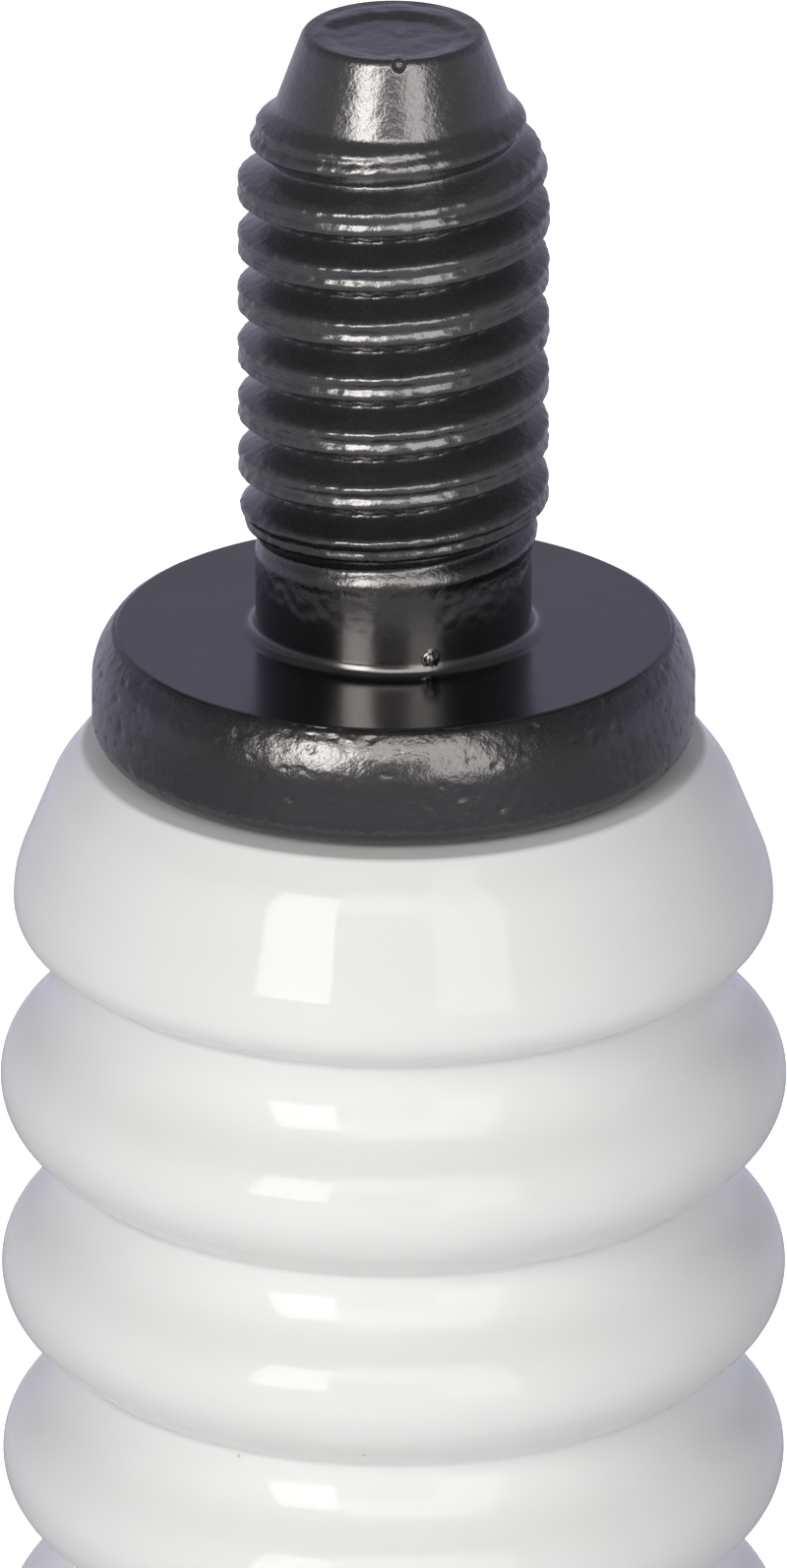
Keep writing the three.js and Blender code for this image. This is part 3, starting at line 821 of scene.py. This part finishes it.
def centre_electrode():
    """A pin with a wider head, hollow for its copper core."""
    tip, head_top = foot("centre_electrode"), top("centre_electrode")
    points = softened([
        (0, tip),
        (ELECTRODE_RADIUS, tip),
        (ELECTRODE_RADIUS, ELECTRODE_SHOULDER - 0.6),
        (ELECTRODE_HEAD_RADIUS, ELECTRODE_SHOULDER),
        (ELECTRODE_HEAD_RADIUS, head_top),
        (CORE_BORE_RADIUS, head_top),
        (CORE_BORE_RADIUS, CORE_BORE_FOOT),
        (0, CORE_BORE_FOOT),
    ], 0.08)
    return revolve("centre_electrode_turned", outline(points, spacing=0.2), 96)


# ------------------------------------------------------------------ the stage

AIM = Vector((0, 0, 0.0425))
CAMERA_ELEVATION = 22
CAMERA_DISTANCE = 0.2776
CAMERA_LENS = 525.9
LAMP_WHITE = (1.0, 0.985, 0.965)
SIDE_LAMP_WHITE = (1.0, 0.99, 0.98)
FILL_AIM = Vector((0, 0, 0.03))
FILL_DISTANCE = 0.7
FLOOR_SIZE = 3.0
FLOOR_GAP = 0.0002


def direction(azimuth, elevation):
    """Unit vector away from the plug. Azimuth 0 is the camera's side and grows towards +X, in degrees."""
    a, e = math.radians(azimuth), math.radians(elevation)
    return Vector((math.sin(a) * math.cos(e), -math.cos(a) * math.cos(e), math.sin(e)))


def emission(name, colour, strength):
    material = bpy.data.materials.new(name)
    material.use_nodes = True
    tree = material.node_tree
    tree.nodes.clear()
    light = tree.nodes.new("ShaderNodeEmission")
    light.inputs["Color"].default_value = (*colour, 1)
    light.inputs["Strength"].default_value = strength
    out = tree.nodes.new("ShaderNodeOutputMaterial")
    tree.links.new(light.outputs[0], out.inputs["Surface"])
    return material


def panel(name, azimuths, elevations, distance, colour, strength):
    """A flat lamp face that fills a window of the sky, seen from the insulator's head."""
    (left, right), (low, high) = azimuths, elevations
    corners = []
    for azimuth, elevation in ((left, low), (right, low), (right, high), (left, high)):
        corners.append(tuple(AIM + direction(azimuth, elevation) * distance))
    obj = mesh_object(name, corners, [(0, 1, 2, 3)])
    obj.data.materials.append(emission(name, colour, strength))
    obj.visible_camera = False
    return obj


def fill_light(name, azimuth, elevation, size, power):
    """A round soft light that brightens matt surfaces and leaves no reflection."""
    light = bpy.data.lights.new(name, "AREA")
    light.shape = "DISK"
    light.size = size
    light.energy = power
    obj = bpy.data.objects.new(name, light)
    bpy.context.scene.collection.objects.link(obj)
    ray = direction(azimuth, elevation)
    obj.location = FILL_AIM + ray * FILL_DISTANCE
    obj.rotation_euler = (-ray).to_track_quat("-Z", "Y").to_euler()
    obj.visible_glossy = False
    obj.visible_camera = False


def studio_sky():
    """The room round the plug: a pale backdrop behind it, a darker ceiling, softer sides. The camera sees
    plain white instead."""
    world = bpy.data.worlds.new("studio")
    world.use_nodes = True
    bpy.context.scene.world = world
    tree = world.node_tree
    nodes, links = tree.nodes, tree.links
    background = nodes["Background"]
    place = nodes.new("ShaderNodeTexCoord")
    split = nodes.new("ShaderNodeSeparateXYZ")
    links.new(place.outputs["Generated"], split.inputs[0])

    def ramp(value, stops):
        node = nodes.new("ShaderNodeValToRGB")
        elements = node.color_ramp.elements
        while len(elements) < len(stops):
            elements.new(0.5)
        for element, (position, colour) in zip(elements, stops):
            element.position = position
            element.color = (*colour, 1)
        links.new(value, node.inputs[0])
        return node.outputs["Color"]

    def half(value):
        """-1..1 brought to 0..1."""
        node = nodes.new("ShaderNodeMapRange")
        node.inputs["From Min"].default_value = -1
        links.new(value, node.inputs["Value"])
        return node.outputs["Result"]

    def sine(degrees):
        """Place on a 0..1 ramp of a direction this many degrees above the horizon."""
        return (math.sin(math.radians(degrees)) + 1) / 2

    floor_tone = (0.36, 0.36, 0.42)
    horizon_tone = (0.58, 0.58, 0.74)
    back_tone = (0.36, 0.36, 0.48)
    ceiling_tone = (0.15, 0.15, 0.16)
    front_tone = (0.38, 0.38, 0.38)
    behind = ramp(half(split.outputs["Z"]), [
        (sine(-24), floor_tone),
        (sine(-14), horizon_tone),
        (sine(4), horizon_tone),
        (sine(11), back_tone),
        (sine(30), back_tone),
        (sine(36), ceiling_tone),
    ])
    before = ramp(half(split.outputs["Z"]), [
        (sine(-30), floor_tone),
        (sine(-5), front_tone),
        (sine(40), ceiling_tone),
    ])
    mix = nodes.new("ShaderNodeMix")
    mix.data_type = "RGBA"
    share = nodes.new("ShaderNodeMapRange")
    share.inputs["From Min"].default_value = -0.3
    share.inputs["From Max"].default_value = 0.3
    links.new(split.outputs["Y"], share.inputs["Value"])
    links.new(share.outputs["Result"], mix.inputs[0])
    links.new(before, mix.inputs[6])
    links.new(behind, mix.inputs[7])
    aside = nodes.new("ShaderNodeMath")
    aside.operation = "ABSOLUTE"
    links.new(split.outputs["X"], aside.inputs[0])
    strength = nodes.new("ShaderNodeMapRange")
    side_fade = {"From Min": 0.6, "From Max": 0.9, "To Min": 1.0, "To Max": 0.75}
    for key, number in side_fade.items():
        strength.inputs[key].default_value = number
    links.new(aside.outputs[0], strength.inputs["Value"])
    white = nodes.new("ShaderNodeMix")
    white.data_type = "RGBA"
    white.inputs[7].default_value = (1, 1, 1, 1)
    camera_ray = nodes.new("ShaderNodeLightPath").outputs["Is Camera Ray"]
    links.new(camera_ray, white.inputs[0])
    lit = nodes.new("ShaderNodeMath")
    lit.operation = "MAXIMUM"
    links.new(camera_ray, lit.inputs[0])
    links.new(strength.outputs["Result"], lit.inputs[1])
    links.new(mix.outputs[2], white.inputs[6])
    links.new(white.outputs[2], background.inputs["Color"])
    links.new(lit.outputs[0], background.inputs["Strength"])


def floor():
    """A wide pale ground just under the plug that the camera sees as white."""
    z = cad_box[0].z - FLOOR_GAP
    corners = [(x * FLOOR_SIZE, y * FLOOR_SIZE, z) for x, y in ((-1, -1), (1, -1), (1, 1), (-1, 1))]
    obj = mesh_object("floor", corners, [(0, 1, 2, 3)])
    m = Nodes("pale_floor")
    seen = m.add("ShaderNodeLightPath").outputs["Is Camera Ray"]
    m.shader.inputs["Emission Color"].default_value = (1, 1, 1, 1)
    m.link(seen, m.shader.inputs["Emission Strength"])
    colour = m.blend(m.noise(400), (0.9, 0.9, 0.9), (0.92, 0.92, 0.92))
    obj.data.materials.append(m.finish(colour, Roughness=0.9))
    obj.visible_glossy = False


def camera():
    """Looks down on the terminal, close up through a long lens."""
    data = bpy.data.cameras.new("camera")
    data.sensor_width = 36
    data.lens = CAMERA_LENS
    data.clip_start = 0.01
    data.clip_end = 20
    obj = bpy.data.objects.new("camera", data)
    bpy.context.scene.collection.objects.link(obj)
    away = direction(0, CAMERA_ELEVATION)
    obj.location = AIM + away * CAMERA_DISTANCE
    obj.rotation_euler = (-away).to_track_quat("-Z", "Y").to_euler()
    bpy.context.scene.camera = obj


# ------------------------------------------------------------------ putting it together


def dress(piece, node, material, body="plug"):
    """Gives a piece its material, sets it on the body it rides on, and hides the CAD part of the node it
    stands for.
    """
    piece.data.materials.clear()
    piece.data.materials.append(material)
    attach(piece, body)
    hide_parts(node)


def recolour(node, material):
    """Puts a material on a piece that keeps its CAD solid."""
    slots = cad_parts[node].material_slots
    slots[0].material = material


camera()
studio_sky()
floor()
panel("key_panel", (-42, -19), (9, 41), distance=0.6, colour=LAMP_WHITE, strength=8.2)
middle_panel = panel("middle_panel", (-19, 13), (26, 50), distance=0.62, colour=LAMP_WHITE, strength=3.2)
middle_panel.visible_diffuse = False
panel("side_panel", (13, 37), (-2, 51), distance=0.6, colour=SIDE_LAMP_WHITE, strength=3.1)
fill_light("fill_front", azimuth=-8, elevation=5, size=0.6, power=0.33)
fill_light("fill_left", azimuth=-80, elevation=8, size=0.5, power=0.10)
fill_light("fill_right", azimuth=75, elevation=8, size=0.5, power=0.18)

OXIDE = black_oxide()
PORCELAIN = glazed_porcelain()
PLATED = plated_steel()
NICKEL = nickel_alloy()
SEAL = pressed_powder("fused_seal", (0.24, 0.16, 0.11), (0.12, 0.08, 0.05), 0.25)
CARBON = pressed_powder("resistor_carbon", (0.05, 0.05, 0.05), (0.02, 0.02, 0.02), 0.12)
TALC = pressed_powder("talc", (0.74, 0.72, 0.66), (0.62, 0.60, 0.54), 0.15)

dress(terminal_stud(), "terminal_stud", OXIDE)
dress(insulator(), "porcelain_insulator", PORCELAIN)
dress(metal_shell(), "metal_shell", PLATED)
dress(sealing_gasket(), "sealing_gasket", PLATED, body="gasket")
dress(ground_electrode(), "ground_electrode", NICKEL)
dress(centre_electrode(), "centre_electrode", NICKEL)
for node in ("upper_packing_ring", "lower_packing_ring", "seat_washer"):
    recolour(node, PLATED)
for node in ("upper_glass_seal", "lower_glass_seal"):
    recolour(node, SEAL)
recolour("resistor", CARBON)
recolour("talc_packing", TALC)
recolour("electrode_copper_core", drawn_copper())

bpy.context.scene.view_settings.view_transform = "Standard"
